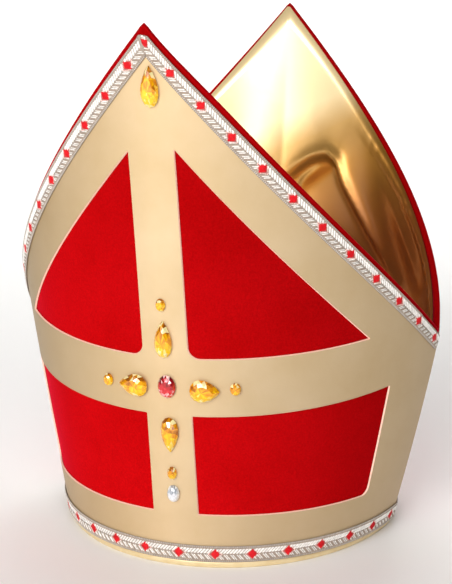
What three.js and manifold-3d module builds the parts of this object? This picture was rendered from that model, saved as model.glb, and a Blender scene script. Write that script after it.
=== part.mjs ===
// Bishop mitre: two stiff velvet-covered horns sewn together at the sides, a gold overlay with four
// window cut-outs on the front, woven braid along the horn edges and round the rim, a satin lining
// in two halves that meet in a trough between the horns, a rolled satin rim and eleven faceted gems.
// Millimetres, +Z up, front faces -Y, origin on the floor at the middle of the outline.

import * as THREE from 'three';
import { mergeVertices } from 'three/addons/utils/BufferGeometryUtils.js';
import Module from 'manifold-3d';

const wasm = await Module();
wasm.setup();

// ---- driving dimensions -------------------------------------------------------------------------

// Plan of one wall at three heights: half its chord, and the angle its face has turned at the seam.
const sections = [
  { height: 0, halfWidth: 104.5, seamAngle: 83.6 },
  { height: 129, halfWidth: 133.4, seamAngle: 73.6 },
  { height: 314, halfWidth: 158.7, seamAngle: 70.4 },
];
const noseTightness = -0.105; // below 0 the plan is rounder in the middle than at the seams

const hornHeight = 314;
const joinHeight = 129; // where the two horns part at the seams
const edgeHollow = 0.32; // how much steeper a horn edge is at the apex than its straight chord

const gap = 0.3; // between neighbouring pieces
const wall = 3; // velvet over stiffener
const leather = 1;
const braidThickness = 1;
const satin = 1.2;

const rollHeight = 4.4;
const wallBase = rollHeight + gap;
const rimBraid = { low: 4.7, high: 14.7 };
const edgeBraid = { outer: 3.2, inner: 13.2 }; // insets from the horn edge, square to it

const overlayTopInset = 7; // the overlay ends under the edge braid
const overlayInner = gap;
const overlayOuter = overlayInner + leather;
const overBraidInner = overlayOuter + gap;

// Cross on the front: the upright leans a little, the crossbar's edges rise towards the seams.
const upright = { atRim: 6.8, lean: -0.0315, halfWidth: 13.25 };
const crossbar = { lowEdge: 93.4, lowRise: 13.3, highEdge: 126.7, highRise: 17.7 };
const windowSill = 33.4;
const edgeBorder = 36.3; // horn edge to upper window
const seamBorder = 41; // seam to lower window
const corner = { soft: 7, medium: 5, sharp: 0.8 };

// Satin trough between the horns.
const trough = { reach: 0.98, topInset: 4, endDepth: 5, sag: 12, squareness: 3, clearance: 0.4 };

const gemDepth = { drop: 4.2, oval: 3.6, bead: 2.8 };
const gemColours = { amber: '#f2b10c', red: '#b0101c', clear: '#f4f4f4' };
const dropShape = { fullness: 1.22, taper: 0.7 };
// across: along the wall from the middle. turn: where a drop points, from straight up.
const gems = [
  { name: 'drop_apex', shape: 'drop', across: 1, height: 278, wide: 11, long: 23.5, turn: 0 },
  { name: 'bead_upper', shape: 'bead', across: 1.6, height: 157.7, wide: 6, long: 8, turn: 0 },
  { name: 'drop_upper', shape: 'drop', across: 2.4, height: 138, wide: 11, long: 22.5, turn: 0 },
  { name: 'oval_centre', shape: 'oval', across: 3.6, height: 110.4, wide: 10, long: 12.5, turn: 0, tint: 'red' },
  { name: 'drop_left', shape: 'drop', across: -16.7, height: 109.4, wide: 14, long: 19, turn: 90 },
  { name: 'bead_left', shape: 'bead', across: -34.4, height: 109.5, wide: 6.5, long: 8, turn: 0 },
  { name: 'drop_right', shape: 'drop', across: 25.3, height: 109.2, wide: 14, long: 18, turn: -90 },
  { name: 'bead_right', shape: 'bead', across: 42.2, height: 110.6, wide: 6.5, long: 8, turn: 0 },
  { name: 'drop_lower', shape: 'drop', across: 4.5, height: 81.8, wide: 11, long: 22, turn: 180 },
  { name: 'bead_lower', shape: 'bead', across: 5, height: 58.5, wide: 6, long: 8.3, turn: 0 },
  { name: 'oval_clear', shape: 'oval', across: 5.4, height: 46.1, wide: 7.8, long: 11, turn: 0, tint: 'clear' },
];

const outlineShift = 1.1; // moves the whole to stand centred on its outline

// How finely each surface is divided.
const grids = {
  wall: { columns: 36, rows: 10 },
  window: { columns: 14, rows: 16 },
  lining: { columns: 28, rows: 10 },
  edgeBraid: 20,
  ring: 24,
  gemSides: 12,
};

const FRONT = -1;
const BACK = 1;

const colours = {
  velvet: { color: '#c00810', roughness: 0.9, metalness: 0 },
  gold: { color: '#d8bf8c', roughness: 0.45, metalness: 0.3 },
  braid: { color: '#d8cfc6', roughness: 0.55, metalness: 0.2 },
  satin: { color: '#d2a85a', roughness: 0.35, metalness: 0 },
};

// ---- the wall surface ---------------------------------------------------------------------------

// Half width and seam angle at a height, through the three sections.
function sectionAt(height) {
  let halfWidth = 0;
  let seamAngle = 0;
  for (const row of sections) {
    let weight = 1;
    for (const other of sections) {
      if (other !== row) weight *= (height - other.height) / (row.height - other.height);
    }
    halfWidth += weight * row.halfWidth;
    seamAngle += weight * row.seamAngle;
  }
  return { halfWidth, seamAngle: THREE.MathUtils.degToRad(seamAngle) };
}

function turnAt(seamAngle, across) {
  return (seamAngle * (across + noseTightness * across ** 3)) / (1 + noseTightness);
}

// Plan curve of unit length per side, from the middle to `across`, by Simpson's rule.
function unitPlan(seamAngle, across) {
  const steps = 16;
  let x = 0;
  let y = 0;
  for (let i = 0; i <= steps; i += 1) {
    const inner = i % 2 === 0 ? 2 : 4;
    const weight = i === 0 || i === steps ? 1 : inner;
    const angle = turnAt(seamAngle, (across * i) / steps);
    x += weight * Math.cos(angle);
    y += weight * Math.sin(angle);
  }
  return { x: (x * across) / (3 * steps), y: (y * across) / (3 * steps) };
}

// Length along the wall from the middle to the seam.
function girth(height) {
  const { halfWidth, seamAngle } = sectionAt(height);
  return halfWidth / unitPlan(seamAngle, 1).x;
}

// A point of a wall: `across` runs from -1 to 1 between the seams, `offset` is outwards.
function wallPoint(face, across, height, offset) {
  const { halfWidth, seamAngle } = sectionAt(height);
  if (Math.abs(across) >= 1) {
    const x = Math.sign(across) * (halfWidth + offset / Math.sin(seamAngle));
    return new THREE.Vector3(x, (face * gap) / 2, height);
  }
  const whole = unitPlan(seamAngle, 1);
  const here = unitPlan(seamAngle, across);
  const scale = halfWidth / whole.x;
  const angle = turnAt(seamAngle, across);
  const x = scale * here.x + offset * Math.sin(angle);
  const depth = scale * (whole.y - here.y) + offset * Math.cos(angle);
  return new THREE.Vector3(x, face * depth, height);
}

function hornEdge(across) {
  const a = Math.abs(across);
  return hornHeight - (hornHeight - joinHeight) * ((1 + edgeHollow) * a - edgeHollow * a * a);
}

// A point at a square inset from the horn edge, as distance along the wall and height.
function insetPoint(along, inset) {
  const step = 0.001;
  const at = (a) => ({ distance: girth(hornEdge(a)) * a, height: hornEdge(a) });
  const here = at(along);
  const next = at(along + step);
  const run = next.distance - here.distance;
  const rise = next.height - here.height;
  const length = Math.hypot(run, rise);
  return {
    distance: here.distance + (rise / length) * inset,
    height: here.height - (run / length) * inset,
  };
}

// The value between low and high where `excess` changes sign.
function crossing(excess, low, high) {
  let a = low;
  let b = high;
  for (let i = 0; i < 40; i += 1) {
    const middle = (a + b) / 2;
    if (excess(middle) > 0) b = middle;
    else a = middle;
  }
  return (a + b) / 2;
}

// ---- closed bodies from grids -------------------------------------------------------------------

function signedVolume(positions, triangles) {
  const corners = [new THREE.Vector3(), new THREE.Vector3(), new THREE.Vector3()];
  let volume = 0;
  for (let i = 0; i < triangles.length; i += 3) {
    corners.forEach((corner, k) => corner.fromArray(positions, triangles[i + k] * 3));
    volume += corners[0].dot(corners[1].clone().cross(corners[2]));
  }
  return volume;
}

function bodyFrom(points, triangles) {
  const positions = points.flatMap((p) => [p.x, p.y, p.z]);
  if (signedVolume(positions, triangles) < 0) triangles.reverse();
  const geometry = new THREE.BufferGeometry();
  geometry.setAttribute('position', new THREE.Float32BufferAttribute(positions, 3));
  geometry.setIndex(triangles);
  return mergeVertices(geometry, 1e-4);
}

// A sheet with thickness: place(u, v, side) with u and v from 0 to 1 and side 0 or 1.
function sheetBody(place, columns, rows) {
  const points = [];
  const index = (i, j, side) => (i * (rows + 1) + j) * 2 + side;
  for (let i = 0; i <= columns; i += 1) {
    for (let j = 0; j <= rows; j += 1) {
      points.push(place(i / columns, j / rows, 0), place(i / columns, j / rows, 1));
    }
  }
  const triangles = [];
  const quad = (a, b, c, d) => triangles.push(a, b, c, a, c, d);
  for (let i = 0; i < columns; i += 1) {
    for (let j = 0; j < rows; j += 1) {
      quad(index(i, j, 1), index(i + 1, j, 1), index(i + 1, j + 1, 1), index(i, j + 1, 1));
      quad(index(i, j, 0), index(i, j + 1, 0), index(i + 1, j + 1, 0), index(i + 1, j, 0));
    }
    quad(index(i, 0, 0), index(i + 1, 0, 0), index(i + 1, 0, 1), index(i, 0, 1));
    quad(index(i, rows, 1), index(i + 1, rows, 1), index(i + 1, rows, 0), index(i, rows, 0));
  }
  for (let j = 0; j < rows; j += 1) {
    quad(index(0, j, 0), index(0, j, 1), index(0, j + 1, 1), index(0, j + 1, 0));
    quad(index(columns, j, 1), index(columns, j, 0), index(columns, j + 1, 0), index(columns, j + 1, 1));
  }
  return bodyFrom(points, triangles);
}

// A ring round both walls: `outline` lists its section as { offset, height }, in order.
function ringBody(columnsPerWall, outline) {
  const points = [];
  const stations = [];
  for (const face of [FRONT, BACK]) {
    for (let i = 0; i < columnsPerWall; i += 1) {
      stations.push({ face, across: face * (1 - (2 * i) / columnsPerWall) });
    }
  }
  for (const { face, across } of stations) {
    for (const corner of outline(face, across)) {
      const point = wallPoint(face, across, corner.height, corner.offset);
      if (Math.abs(across) === 1) point.y = 0;
      points.push(point);
    }
  }
  const around = outline(FRONT, 0).length;
  const triangles = [];
  stations.forEach((station, i) => {
    const next = (i + 1) % stations.length;
    for (let k = 0; k < around; k += 1) {
      const up = (k + 1) % around;
      const corners = [i * around + k, next * around + k, next * around + up, i * around + up];
      triangles.push(corners[0], corners[1], corners[2], corners[0], corners[2], corners[3]);
    }
  });
  return bodyFrom(points, triangles);
}

// ---- pieces -------------------------------------------------------------------------------------

function wallBody(face, outer, inner, topInset) {
  return sheetBody((u, v, side) => {
    const across = 2 * u - 1;
    const height = wallBase + (hornEdge(across) - topInset - wallBase) * v;
    return wallPoint(face, across, height, side ? outer : inner);
  }, grids.wall.columns, grids.wall.rows);
}

// Half of a horn's edge braid, from its mitre at the apex to the seam.
function edgeBraidBody(face, side, inner) {
  return sheetBody((u, v, layer) => {
    const inset = edgeBraid.inner + (edgeBraid.outer - edgeBraid.inner) * v;
    const start = crossing((a) => insetPoint(a, inset).distance - gap / 2, 0, 0.5);
    const pastSeam = (a) => {
      const point = insetPoint(a, inset);
      return point.distance - girth(point.height) + gap;
    };
    const end = crossing(pastSeam, 0.7, 1.3);
    const { distance, height } = insetPoint(start + (end - start) * u, inset);
    const lift = layer ? inner + braidThickness : inner;
    return wallPoint(face, (side * distance) / girth(height), height, lift);
  }, grids.edgeBraid, 1);
}

// How far a soft corner of this radius pulls the side in, at a distance from the corner's edge.
function softening(distance, radius) {
  const short = Math.max(0, radius - Math.max(0, distance));
  return radius - Math.sqrt(radius * radius - short * short);
}

// Rows close together near both ends, where the corners round.
function easedRow(v) {
  return (1 - Math.cos(Math.PI * v)) / 2;
}

// Cutter for one window. `low` and `high` give its edges at a share of the girth, `outerSide` its
// outer edge at a height, and `soft` the radii of its four corners.
function windowCutter(side, { low, high, outerSide, soft }) {
  const barSide = (height) => upright.atRim + upright.lean * height + side * upright.halfWidth;
  return sheetBody((u, v, layer) => {
    let height = (low(0) + high(0)) / 2;
    let distance = 0;
    for (let pass = 0; pass < 12; pass += 1) {
      const share = distance / girth(height);
      const bottom = low(share);
      const top = high(share);
      height = bottom + (top - bottom) * easedRow(v);
      const up = height - bottom;
      const down = top - height;
      const barPull = softening(up, soft.barLow) + softening(down, soft.barHigh);
      const outerPull = softening(up, soft.outerLow) + softening(down, soft.outerHigh);
      const start = barSide(height) + side * barPull;
      const end = side * (outerSide(height) - outerPull);
      distance = start + (end - start) * u;
    }
    return wallPoint(FRONT, distance / girth(height), height, layer ? wall : -wall);
  }, grids.window.columns, grids.window.rows);
}

// Distance along the wall of the line that keeps `border` from the horn edge, at a height.
function borderAt(height) {
  const along = crossing((a) => height - insetPoint(a, edgeBorder).height, 0, 1.2);
  return insetPoint(along, edgeBorder).distance;
}

function upperWindow(side) {
  const centre = (height) => side * (upright.atRim + upright.lean * height) + upright.halfWidth;
  const tip = crossing((height) => centre(height) + 1 - borderAt(height), 140, 290);
  return windowCutter(side, {
    low: (share) => crossbar.highEdge + crossbar.highRise * share * share,
    high: () => tip,
    outerSide: borderAt,
    soft: { barLow: corner.soft, barHigh: 0, outerLow: corner.sharp, outerHigh: 0 },
  });
}

function lowerWindow(side) {
  return windowCutter(side, {
    low: () => windowSill,
    high: (share) => crossbar.lowEdge + crossbar.lowRise * share * share,
    outerSide: (height) => girth(height) - seamBorder,
    soft: { barLow: corner.sharp, barHigh: corner.sharp, outerLow: corner.medium, outerHigh: corner.sharp },
  });
}

function manifoldFrom(geometry) {
  return new wasm.Manifold(new wasm.Mesh({
    numProp: 3,
    vertProperties: new Float32Array(geometry.attributes.position.array),
    triVerts: new Uint32Array(geometry.index.array),
  }));
}

function overlayBody() {
  let solid = manifoldFrom(wallBody(FRONT, overlayOuter, overlayInner, overlayTopInset));
  for (const side of [-1, 1]) {
    solid = solid.subtract(manifoldFrom(upperWindow(side)));
    solid = solid.subtract(manifoldFrom(lowerWindow(side)));
  }
  const { vertProperties, triVerts } = solid.getMesh();
  const geometry = new THREE.BufferGeometry();
  geometry.setAttribute('position', new THREE.BufferAttribute(vertProperties, 3));
  geometry.setIndex(new THREE.BufferAttribute(triVerts, 1));
  return geometry;
}

// The satin follows both horns down from their edges and crosses between them in a soft trough:
// v runs from 0 at the front horn's edge to 1 at the back horn's.
function troughPoint(u, v) {
  const across = trough.reach * (2 * u - 1);
  const top = hornEdge(across) - trough.topInset;
  const bottom = joinHeight - trough.endDepth - trough.sag * (1 - (across / trough.reach) ** 2);
  const angle = Math.PI * (v - 0.5);
  const power = 2 / trough.squareness;
  const spread = Math.sign(Math.sin(angle)) * Math.abs(Math.sin(angle)) ** power;
  const height = top - (top - bottom) * Math.abs(Math.cos(angle)) ** power;
  const point = wallPoint(BACK, across, height, -(wall + trough.clearance));
  point.y *= spread;
  return point;
}

// Half of the lining, from vStart to vEnd.
function liningBody(vStart, vEnd) {
  const step = 0.002;
  return sheetBody((u, share, side) => {
    const v = vStart + (vEnd - vStart) * share;
    const point = troughPoint(u, v);
    if (!side) return point;
    const uLow = Math.max(0, u - step);
    const vLow = Math.max(0, v - step);
    const alongU = troughPoint(Math.min(1, u + step), v).sub(troughPoint(uLow, v));
    const alongV = troughPoint(u, Math.min(1, v + step)).sub(troughPoint(u, vLow));
    return point.addScaledVector(alongU.cross(alongV).normalize(), satin);
  }, grids.lining.columns, grids.lining.rows);
}

function rollBody() {
  const bevel = 0.9;
  const out = 0.6;
  const inwards = -(wall + trough.clearance);
  return ringBody(grids.ring, () => [
    { offset: out - bevel, height: 0 },
    { offset: out, height: bevel },
    { offset: out, height: rollHeight - bevel },
    { offset: out - bevel, height: rollHeight },
    { offset: inwards + bevel, height: rollHeight },
    { offset: inwards, height: rollHeight - bevel },
    { offset: inwards, height: bevel },
    { offset: inwards + bevel, height: 0 },
  ]);
}

// The rim braid lies on the overlay in front and sinks to the velvet just behind each seam.
function rimBraidBody() {
  const settling = 1 / 8;
  return ringBody(grids.ring, (face, across) => {
    const settled = face === BACK ? Math.min(1, (1 - Math.abs(across)) / settling) : 0;
    const inner = overBraidInner + (overlayInner - overBraidInner) * settled;
    return [
      { offset: inner, height: rimBraid.low },
      { offset: inner + braidThickness, height: rimBraid.low },
      { offset: inner + braidThickness, height: rimBraid.high },
      { offset: inner, height: rimBraid.high },
    ];
  });
}

// Outline of a gem: an oval, or a drop whose point is at +Y.
function gemOutline(gem, angle) {
  const x = (gem.wide / 2) * Math.cos(angle);
  const y = (gem.long / 2) * Math.sin(angle);
  if (gem.shape !== 'drop') return { x, y };
  const narrowing = Math.sqrt((1 - Math.sin(angle)) / 2) ** dropShape.taper;
  return { x: x * narrowing * dropShape.fullness, y };
}

function gemBody(gem) {
  const sides = grids.gemSides;
  const depth = gemDepth[gem.shape];
  const rings = [
    { scale: 0.94, height: 0 },
    { scale: 1, height: depth * 0.25 },
    { scale: 0.62, height: depth },
  ];
  const points = [new THREE.Vector3(0, 0, 0), new THREE.Vector3(0, 0, depth)];
  for (const ring of rings) {
    for (let i = 0; i < sides; i += 1) {
      const spot = gemOutline(gem, (2 * Math.PI * (i + 0.5)) / sides);
      points.push(new THREE.Vector3(spot.x * ring.scale, spot.y * ring.scale, ring.height));
    }
  }
  const at = (ring, i) => 2 + ring * sides + (i % sides);
  const triangles = [];
  for (let i = 0; i < sides; i += 1) {
    triangles.push(0, at(0, i + 1), at(0, i));
    triangles.push(1, at(2, i), at(2, i + 1));
    for (let ring = 0; ring < 2; ring += 1) {
      triangles.push(at(ring, i), at(ring, i + 1), at(ring + 1, i + 1));
      triangles.push(at(ring, i), at(ring + 1, i + 1), at(ring + 1, i));
    }
  }
  return bodyFrom(points, triangles);
}

// Stands a gem on the overlay, square to the wall, with room under it for the wall's curve.
function placeGem(mesh, gem) {
  const tightestRadius = 100;
  const bowUnder = (width) => width ** 2 / (8 * tightestRadius);
  const bow = bowUnder(gem.wide) + (gem.turn % 180 === 0 ? 0 : bowUnder(gem.long));
  const offset = overlayOuter + gap + bow;
  const at = (across, height) => wallPoint(FRONT, across / girth(gem.height), height, offset);
  const step = 2;
  const spot = at(gem.across, gem.height);
  const sideways = at(gem.across + step, gem.height).sub(spot).normalize();
  const up = at(gem.across, gem.height + step).sub(spot).normalize();
  const out = sideways.clone().cross(up).normalize();
  const squareUp = out.clone().cross(sideways);
  mesh.quaternion.setFromRotationMatrix(new THREE.Matrix4().makeBasis(sideways, squareUp, out));
  mesh.rotateZ(THREE.MathUtils.degToRad(gem.turn));
  mesh.position.copy(spot);
}

// ---- assembly -----------------------------------------------------------------------------------

const mitre = new THREE.Group();
mitre.position.y = outlineShift;

function addPiece(name, geometry, finish) {
  const mesh = new THREE.Mesh(geometry, new THREE.MeshStandardMaterial(finish));
  mesh.name = name;
  mitre.add(mesh);
  return mesh;
}

addPiece('front_wall', wallBody(FRONT, 0, -wall, 0), colours.velvet);
addPiece('back_wall', wallBody(BACK, 0, -wall, 0), colours.velvet);
addPiece('front_overlay', overlayBody(), colours.gold);
addPiece('front_edge_braid_left', edgeBraidBody(FRONT, -1, overBraidInner), colours.braid);
addPiece('front_edge_braid_right', edgeBraidBody(FRONT, 1, overBraidInner), colours.braid);
addPiece('back_edge_braid_left', edgeBraidBody(BACK, -1, overlayInner), colours.braid);
addPiece('back_edge_braid_right', edgeBraidBody(BACK, 1, overlayInner), colours.braid);
addPiece('rim_braid', rimBraidBody(), colours.braid);
addPiece('rim_roll', rollBody(), colours.satin);
addPiece('front_lining', liningBody(0, 0.498), colours.satin);
addPiece('back_lining', liningBody(0.502, 1), colours.satin);

for (const gem of gems) {
  const finish = { color: gemColours[gem.tint ?? 'amber'], roughness: 0.08, metalness: 0 };
  placeGem(addPiece(`gem_${gem.name}`, gemBody(gem), finish), gem);
}

export default mitre;
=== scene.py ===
# Bishop mitre: two stiff red velvet horns with a gold leatherette cross, woven diamond braid,
# a satin lining that sags between the horns, a rolled satin rim and glued acrylic gems.
# Metres, +Z up, the front horn faces -Y.

import math

import bpy
import numpy as np
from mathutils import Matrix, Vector
from mathutils.geometry import delaunay_2d_cdt


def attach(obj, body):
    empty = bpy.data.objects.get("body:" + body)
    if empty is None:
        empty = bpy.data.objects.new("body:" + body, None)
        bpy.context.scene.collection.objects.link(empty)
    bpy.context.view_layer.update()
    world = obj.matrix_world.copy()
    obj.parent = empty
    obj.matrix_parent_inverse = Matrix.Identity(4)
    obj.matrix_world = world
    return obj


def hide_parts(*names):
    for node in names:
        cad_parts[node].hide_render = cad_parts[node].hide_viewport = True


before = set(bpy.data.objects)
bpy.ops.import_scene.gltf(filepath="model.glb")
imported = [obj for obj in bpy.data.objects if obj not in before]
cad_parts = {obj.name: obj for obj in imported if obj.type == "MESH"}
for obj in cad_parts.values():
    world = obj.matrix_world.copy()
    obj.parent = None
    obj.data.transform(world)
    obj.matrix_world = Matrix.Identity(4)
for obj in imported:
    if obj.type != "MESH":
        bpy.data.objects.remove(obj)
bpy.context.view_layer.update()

# ---- camera ---------------------------------------------------------------------------------
# It stands to the right of the front horn, level with the points of the horns, and looks a
# little down and to the left.

CAMERA_PLACE = (0.3071, -0.8110, 0.3460)
CAMERA_TURN_LEFT = 20.75   # degrees from looking along +Y
CAMERA_LOOK_DOWN = 13.35
CAMERA_ROLL = 0.39
CAMERA_LENS = 88.0         # millimetres, for a 36 mm long side

camera = bpy.data.objects.new("camera", bpy.data.cameras.new("camera"))
camera.data.lens = CAMERA_LENS
camera.location = CAMERA_PLACE
camera.rotation_euler = (math.radians(90 - CAMERA_LOOK_DOWN), math.radians(CAMERA_ROLL),
    math.radians(CAMERA_TURN_LEFT))
bpy.context.collection.objects.link(camera)
bpy.context.scene.camera = camera


# ---- floor, backdrop and lights --------------------------------------------------------------
# A pale paper sweep, a large key soft box in front, weaker ones on the left and right, one over
# the floor in front, and a lamp that keeps the paper behind the mitre bright.

def linear(colour):
    """sRGB hex to linear red, green, blue, alpha."""
    parts = [int(colour[i:i + 2], 16) / 255 for i in (1, 3, 5)]
    return (*[c / 12.92 if c <= 0.04045 else ((c + 0.055) / 1.055) ** 2.4 for c in parts], 1.0)


def add_node(tree, kind, inputs=(), **settings):
    """Adds a node. inputs maps a socket's name or number to a value or to another node's output."""
    made = tree.nodes.new(kind)
    for name, value in settings.items():
        setattr(made, name, value)
    for name, value in dict(inputs).items():
        if isinstance(value, bpy.types.NodeSocket):
            tree.links.new(value, made.inputs[name])
        else:
            made.inputs[name].default_value = value
    return made


def mixed_colour(tree, factor, low, high):
    """A mix of two colours, given as sRGB hex, by a factor."""
    return add_node(tree, "ShaderNodeMix", {"Factor": factor, 6: linear(low), 7: linear(high)},
        data_type="RGBA")


def multiplied(tree, one, other):
    """The product of two colour outputs."""
    return add_node(tree, "ShaderNodeMix", {"Factor": 1.0, 6: one, 7: other}, data_type="RGBA",
        blend_type="MULTIPLY")


def colour_ramp(tree, share, first, last, between, interpolation="LINEAR"):
    """A colour ramp over a share. Each stop is a position and an sRGB hex colour."""
    made = add_node(tree, "ShaderNodeValToRGB", {"Fac": share})
    made.color_ramp.interpolation = interpolation
    stops = made.color_ramp.elements
    for stop, (position, colour) in zip(stops, (first, last)):
        stop.position, stop.color = position, linear(colour)
    for position, colour in between:
        stops.new(position).color = linear(colour)
    return made


def new_material(name):
    """A material with its node tree, and its shader, which is already linked to the output."""
    material = bpy.data.materials.new(name)
    material.use_nodes = True
    return material, material.node_tree, material.node_tree.nodes["Principled BSDF"]


def new_object(name, points, faces, materials, smooth=True):
    """A mesh object at the origin from points in the frame."""
    mesh = bpy.data.meshes.new(name)
    mesh.from_pydata([tuple(p) for p in points], [], [tuple(f) for f in faces])
    for material in materials:
        mesh.materials.append(material)
    mesh.polygons.foreach_set("use_smooth", [smooth] * len(mesh.polygons))
    made = bpy.data.objects.new(name, mesh)
    bpy.context.collection.objects.link(made)
    return made


SWEEP_HALF_WIDTH = 6.0
SWEEP_FRONT = -9.0
SWEEP_BACK = 1.6
SWEEP_BEND = 0.8
SWEEP_HEIGHT = 2.6

paper, tree, shader = new_material("matt_white_paper_sweep")
mottle = add_node(tree, "ShaderNodeTexNoise", {"Scale": 6.0, "Detail": 3.0})
paper_shade = mixed_colour(tree, mottle.outputs["Fac"], "#F6F5F3", "#FBFAF8")
tree.links.new(paper_shade.outputs[2], shader.inputs["Base Color"])
shader.inputs["Roughness"].default_value = 0.9
shader.inputs["Specular IOR Level"].default_value = 0.1

side_line = [(SWEEP_FRONT, 0.0), (SWEEP_BACK - SWEEP_BEND, 0.0)]
side_line += [(SWEEP_BACK - SWEEP_BEND * (1 - math.sin(a)), SWEEP_BEND * (1 - math.cos(a)))
              for a in np.linspace(0, math.pi / 2, 17)[1:]]
side_line += [(SWEEP_BACK, SWEEP_HEIGHT)]
sweep_points = [(x, y, z) for y, z in side_line for x in (-SWEEP_HALF_WIDTH, SWEEP_HALF_WIDTH)]
sweep_faces = [(2 * i, 2 * i + 1, 2 * i + 3, 2 * i + 2) for i in range(len(side_line) - 1)]
sweep = new_object("paper_sweep", sweep_points, sweep_faces, [paper])


def add_softbox(name, place, aim, size, watts, colour="#FFFFFF"):
    """A square area light at a place, facing an aim."""
    lamp = bpy.data.lights.new(name, "AREA")
    lamp.shape = "RECTANGLE"
    lamp.size, lamp.size_y = size
    lamp.energy = watts
    lamp.color = linear(colour)[:3]
    made = bpy.data.objects.new(name, lamp)
    made.location = place
    made.rotation_euler = (Vector(aim) - Vector(place)).to_track_quat("-Z", "Y").to_euler()
    bpy.context.collection.objects.link(made)


add_softbox("key_softbox", (-0.10, -2.1, 0.85), (0, 0, 0.15), (1.2, 1.0), 33)
add_softbox("camera_side_softbox", (1.15, -1.9, 0.70), (0, 0, 0.2), (0.9, 0.9), 8)
add_softbox("left_softbox", (-1.25, -1.75, 0.6), (0, 0, 0.2), (1.0, 0.8), 3)
add_softbox("floor_softbox", (0.1, -1.15, 0.9), (0.05, -0.5, 0), (1.6, 0.4), 6)
add_softbox("paper_lamp", (-0.45, 1.1, 1.5), (-0.45, 1.2, 0), (1.5, 0.9), 19)

world = bpy.data.worlds.new("studio")
world.use_nodes = True
world.node_tree.nodes["Background"].inputs["Color"].default_value = linear("#FFFFFF")
world.node_tree.nodes["Background"].inputs["Strength"].default_value = 0.07
bpy.context.scene.world = world
bpy.context.scene.view_settings.view_transform = "Standard"

# ---- horns ------------------------------------------------------------------------------------
# Each horn is short-pile red velvet glued to a stiffener and turned over its edge to the inside;
# the two are sewn together at the sides up to the height where they part. Inside the head
# hollow the bare fused canvas shows.

WALL_SECTIONS = (
    dict(height=0.0, half_width=0.1045, seam_angle=83.6),
    dict(height=0.129, half_width=0.1334, seam_angle=73.6),
    dict(height=0.314, half_width=0.1587, seam_angle=70.4),
)
NOSE_TIGHTNESS = -0.105
HORN_HEIGHT = 0.314
JOIN_HEIGHT = 0.129
EDGE_HOLLOW = 0.32
OUTLINE_SHIFT = 0.0011
SLUMP = dict(right_edge=0.0007, point=0.0021, reach=0.13, depth=0.035, sideways=0.6)
GAP = 0.0003
WALL = 0.003
WALL_BASE = 0.0047
FRONT, BACK = -1, 1

section_heights = [row["height"] for row in WALL_SECTIONS]
half_width = np.poly1d(np.polyfit(section_heights, [row["half_width"] for row in WALL_SECTIONS], 2))
seam_angle = np.poly1d(np.polyfit(section_heights,
    [math.radians(row["seam_angle"]) for row in WALL_SECTIONS], 2))
gauss_at, gauss_weight = np.polynomial.legendre.leggauss(10)


def wall_turn(angle, across):
    return angle * (across + NOSE_TIGHTNESS * across**3) / (1 + NOSE_TIGHTNESS)


def unit_plan(angle, across):
    """Plan curve of unit length per side, from the middle of the wall to `across`."""
    turns = wall_turn(angle[..., None], across[..., None] * (gauss_at + 1) / 2)
    return across * (np.cos(turns) @ gauss_weight) / 2, across * (np.sin(turns) @ gauss_weight) / 2


def girth(height):
    """Length along the wall from its middle to the seam."""
    height = np.asarray(height, float)
    return half_width(height) / unit_plan(seam_angle(height), np.ones_like(height))[0]


def wall_points(face, across, height, offset):
    """Points of a wall: across runs from -1 to 1 between the seams, offset is outwards."""
    across, height, offset = np.broadcast_arrays(*[np.asarray(a, float) for a in (across, height, offset)])
    angle = seam_angle(height)
    whole_x, whole_y = unit_plan(angle, np.ones_like(height))
    inside = np.clip(across, -1, 1)
    x, y = unit_plan(angle, inside)
    scale = half_width(height) / whole_x
    turn = wall_turn(angle, inside)
    depth = np.maximum(scale * (whole_y - y) + offset * np.cos(turn), GAP / 2)
    at_seam = np.abs(across) >= 1
    px = np.where(at_seam, np.sign(across) * (half_width(height) + offset / np.sin(angle)),
        scale * x + offset * np.sin(turn))
    py = face * np.where(at_seam, GAP / 2, depth) + OUTLINE_SHIFT
    down = slump(face, across, height)
    return np.stack([px - SLUMP["sideways"] * down, py, height - down], axis=-1)


def edge_curve(along):
    """Height of a horn's edge, which goes on above the point when along is below 0."""
    return HORN_HEIGHT - (HORN_HEIGHT - JOIN_HEIGHT) * ((1 + EDGE_HOLLOW) * along - EDGE_HOLLOW * along**2)


def horn_edge(across):
    return edge_curve(np.abs(across))


def slump(face, across, height):
    """How far the front horn has settled near its edge, most of all right of its point."""
    if face == BACK:
        return 0.0
    near_edge = np.clip(1 - (horn_edge(across) - height) / SLUMP["depth"], 0, 1) ** 2
    right = 1 / (1 + np.exp(-across / 0.02))
    at_point = np.exp(-((across - 0.01) / SLUMP["reach"]) ** 2)
    return near_edge * (SLUMP["right_edge"] * right + SLUMP["point"] * at_point)


def grid_faces(columns, rows, close_columns=False, close_rows=False, flip=False):
    """Quads between columns x rows points, listed column by column."""
    faces = []
    for i in range(columns if close_columns else columns - 1):
        for j in range(rows if close_rows else rows - 1):
            i2, j2 = (i + 1) % columns, (j + 1) % rows
            face = (i * rows + j, i2 * rows + j, i2 * rows + j2, i * rows + j2)
            faces.append(face[::-1] if flip else face)
    return faces


HORN_COLUMNS = 193
OUTER_ROWS = 56
INNER_ROWS = 30
TURN_ROWS = 11
EDGE_PUFF = 0.0004         # how much the turned edge stands out past the wall's faces
TIP_BUMP = 0.0008          # folded velvet heaped at the point

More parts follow.
